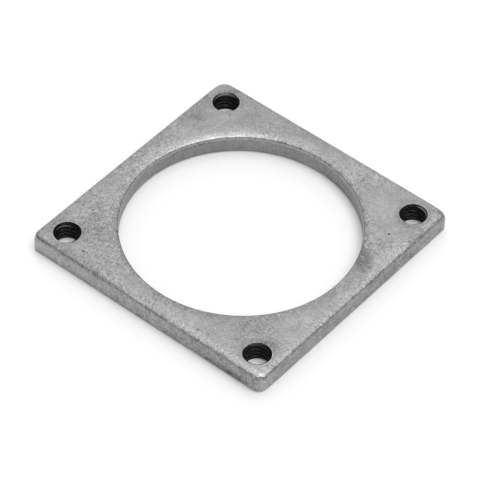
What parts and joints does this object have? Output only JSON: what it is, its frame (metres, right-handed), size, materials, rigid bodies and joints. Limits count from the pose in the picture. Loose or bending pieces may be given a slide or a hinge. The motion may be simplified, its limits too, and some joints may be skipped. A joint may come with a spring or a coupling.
{
  "type": "mounting plate",
  "caption": "Square steel flange plate with a large central bore, rolled upper edges and a tapped hole in each corner.",
  "frame": {"origin": "centre of the underside, on the bore's axis", "axes": "+Z along the bore's axis, out of the rolled upper face; X and Y square to the plate's sides"},
  "size_m": [0.06, 0.06, 0.0045],
  "materials": {
    "tumbled_steel": "bare steel, vibratory tumbled: matt grey with a fine speckle, darker smudges and small pits"
  },
  "bodies": {
    "root": {"mounting_plate": "tumbled_steel"}
  },
  "joints": []
}
